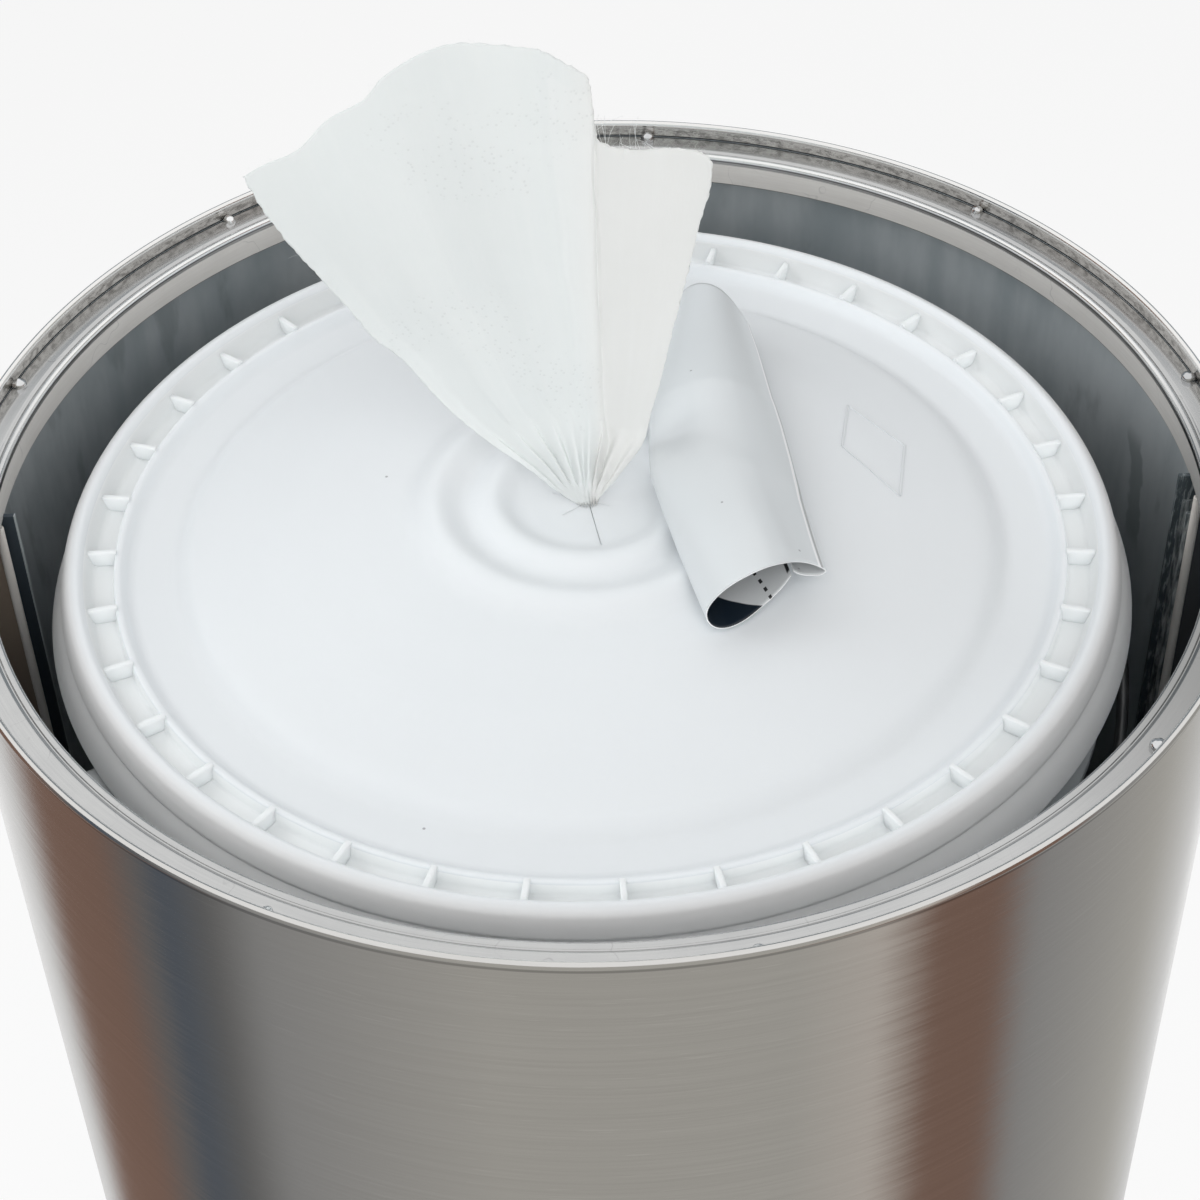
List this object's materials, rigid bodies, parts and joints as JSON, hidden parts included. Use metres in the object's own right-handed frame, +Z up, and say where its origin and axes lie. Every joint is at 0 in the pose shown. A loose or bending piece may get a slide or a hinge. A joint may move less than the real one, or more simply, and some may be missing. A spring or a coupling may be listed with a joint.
{
  "type": "wipes dispenser stand with bin",
  "caption": "Cylindrical steel floor stand with a pail of pull-up wipes under an open rim, a waste opening, a lined waste bin and a locking rear door.",
  "frame": {"origin": "middle of the floor ring's underside", "axes": "+Z up, -Y towards the user and the waste opening, +X to the right seen from the front"},
  "size_m": [0.3597, 0.3589, 1.088],
  "materials": {
    "brushed_shell": "vertical brushed stainless steel",
    "ring_steel": "circular brushed stainless steel",
    "inner_steel": "mill finish stainless steel",
    "lock_chrome": "polished chrome",
    "floor_rubber": "matt black rubber",
    "pail_white": "satin white polyethylene",
    "bin_plastic": "matt black polyethylene",
    "gasket_foam": "matt foam rubber",
    "wipe_cloth": "thin damp nonwoven",
    "label_film": "satin white film, grey inside"
  },
  "bodies": {
    "stand": {"outer_shell": "brushed_shell", "top_ring": "ring_steel", "tack_welds": "ring_steel", "waste_edging": "floor_rubber", "floor_ring": "floor_rubber", "base_pan": "inner_steel", "shelf_tray": "inner_steel", "shelf_brackets": "inner_steel", "shelf_bolts": "lock_chrome", "shelf_nuts": "lock_chrome", "hinge_leaf_fixed": "inner_steel", "hinge_pin": "lock_chrome", "hinge_rivets_fixed": "lock_chrome"},
    "door": {"rear_door": "brushed_shell", "hinge_leaf_door": "inner_steel", "hinge_rivets_door": "lock_chrome", "lock_barrel": "lock_chrome", "lock_nut": "lock_chrome"},
    "lock": {"lock_plug": "lock_chrome", "hook_cam": "inner_steel", "cam_screw": "lock_chrome"},
    "bin": {"waste_bin": "bin_plastic"},
    "pail": {"wipes_pail": "pail_white", "wipes_roll": "wipe_cloth", "lid_gasket": "gasket_foam"},
    "pail_bail": {"bail": "lock_chrome", "bail_grip": "pail_white"},
    "lid": {"pail_lid": "pail_white", "wipe_sheet": "wipe_cloth", "seal_label": "label_film"}
  },
  "joints": [
    {"name": "door_hinge", "type": "hinge", "parent": "stand", "child": "door", "pos_m": [0.1769, 0, 0.493], "axis": [0, 0, -1], "range_deg": [0, 110]},
    {"name": "lock_turn", "type": "hinge", "parent": "door", "child": "lock", "pos_m": [-0.17705, 0.014, 0.6], "axis": [-0.9969, 0.0788, 0], "range_deg": [-80, 0]},
    {"name": "bin_lift", "type": "slide", "parent": "stand", "child": "bin", "axis": [0, 0, 1], "range_m": [0, 0.03]},
    {"name": "pail_lift", "type": "slide", "parent": "stand", "child": "pail", "axis": [0, 0, 1], "range_m": [0, 0.3]},
    {"name": "bail_swing", "type": "hinge", "parent": "pail", "child": "pail_bail", "pos_m": [-0.0025, 0, 0.916], "axis": [-0.866, -0.5, 0], "range_deg": [0, 98]},
    {"name": "lid_lift", "type": "slide", "parent": "pail", "child": "lid", "axis": [0, 0, 1], "range_m": [0, 0.025]}
  ]
}
